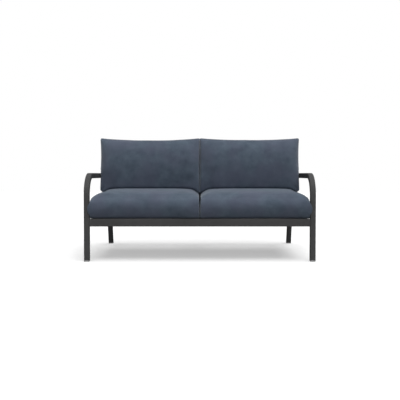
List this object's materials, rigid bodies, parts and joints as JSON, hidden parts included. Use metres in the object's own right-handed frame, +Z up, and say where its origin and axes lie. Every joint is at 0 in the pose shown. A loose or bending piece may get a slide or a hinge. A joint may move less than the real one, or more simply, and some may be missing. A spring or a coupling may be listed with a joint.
{
  "type": "patio loveseat",
  "caption": "Outdoor loveseat with a bent square-tube frame, curved arms running into the front legs, loose seat cushions and loose back cushions",
  "frame": {"origin": "On the ground under the middle of the loveseat's bounding box", "axes": "+X to the viewer's right along the seat, +Y to the back, +Z up; the front faces -Y"},
  "size_m": [1.47, 0.846, 0.7915],
  "materials": {
    "frame_coating": "satin",
    "fastener_steel": "satin",
    "glide_plastic": "matte",
    "cap_plastic": "matte",
    "cushion_fabric": "matte",
    "cushion_filling": "matte"
  },
  "bodies": {
    "frame": {"arm_bolts": "fastener_steel", "arm_rivet_nuts": "fastener_steel", "arm_washers": "fastener_steel", "bracket_bolts": "fastener_steel", "bracket_rivet_nuts": "fastener_steel", "bracket_washers": "fastener_steel", "centre_back_upright": "frame_coating", "centre_rail": "frame_coating", "front_rail": "frame_coating", "left_arm_cap": "cap_plastic", "left_arm_frame": "frame_coating", "left_back_slat_1": "frame_coating", "left_back_slat_2": "frame_coating", "left_back_slat_3": "frame_coating", "left_back_slat_4": "frame_coating", "left_back_upright": "frame_coating", "left_front_glide": "glide_plastic", "left_leg_bracket": "frame_coating", "left_lower_back_rail": "frame_coating", "left_rear_glide": "glide_plastic", "left_rear_leg": "frame_coating", "left_side_rail": "frame_coating", "left_upright_cap": "cap_plastic", "rear_rail": "frame_coating", "right_arm_cap": "cap_plastic", "right_arm_frame": "frame_coating", "right_back_slat_1": "frame_coating", "right_back_slat_2": "frame_coating", "right_back_slat_3": "frame_coating", "right_back_slat_4": "frame_coating", "right_back_upright": "frame_coating", "right_front_glide": "glide_plastic", "right_leg_bracket": "frame_coating", "right_lower_back_rail": "frame_coating", "right_rear_glide": "glide_plastic", "right_rear_leg": "frame_coating", "right_side_rail": "frame_coating", "right_upright_cap": "cap_plastic", "seat_slat_1": "frame_coating", "seat_slat_2": "frame_coating", "seat_slat_3": "frame_coating", "seat_slat_4": "frame_coating", "seat_slat_5": "frame_coating", "seat_slat_6": "frame_coating", "slat_rivets": "frame_coating", "top_back_rail": "frame_coating"},
    "left_seat_cushion": {"left_seat_cover": "cushion_fabric", "left_seat_filling": "cushion_filling"},
    "left_back_cushion": {"left_back_cover": "cushion_fabric", "left_back_filling": "cushion_filling"},
    "right_seat_cushion": {"right_seat_cover": "cushion_fabric", "right_seat_filling": "cushion_filling"},
    "right_back_cushion": {"right_back_cover": "cushion_fabric", "right_back_filling": "cushion_filling"}
  },
  "joints": [
    {"name": "left_seat_cushion_pull_out", "type": "slide", "parent": "frame", "child": "left_seat_cushion", "axis": [0, -1, 0], "range_m": [0, 0.56]},
    {"name": "left_back_cushion_lift_off", "type": "slide", "parent": "frame", "child": "left_back_cushion", "axis": [0, 0.225, 0.9744], "range_m": [0, 0.4]},
    {"name": "right_seat_cushion_pull_out", "type": "slide", "parent": "frame", "child": "right_seat_cushion", "axis": [0, -1, 0], "range_m": [0, 0.56]},
    {"name": "right_back_cushion_lift_off", "type": "slide", "parent": "frame", "child": "right_back_cushion", "axis": [0, 0.225, 0.9744], "range_m": [0, 0.4]}
  ]
}
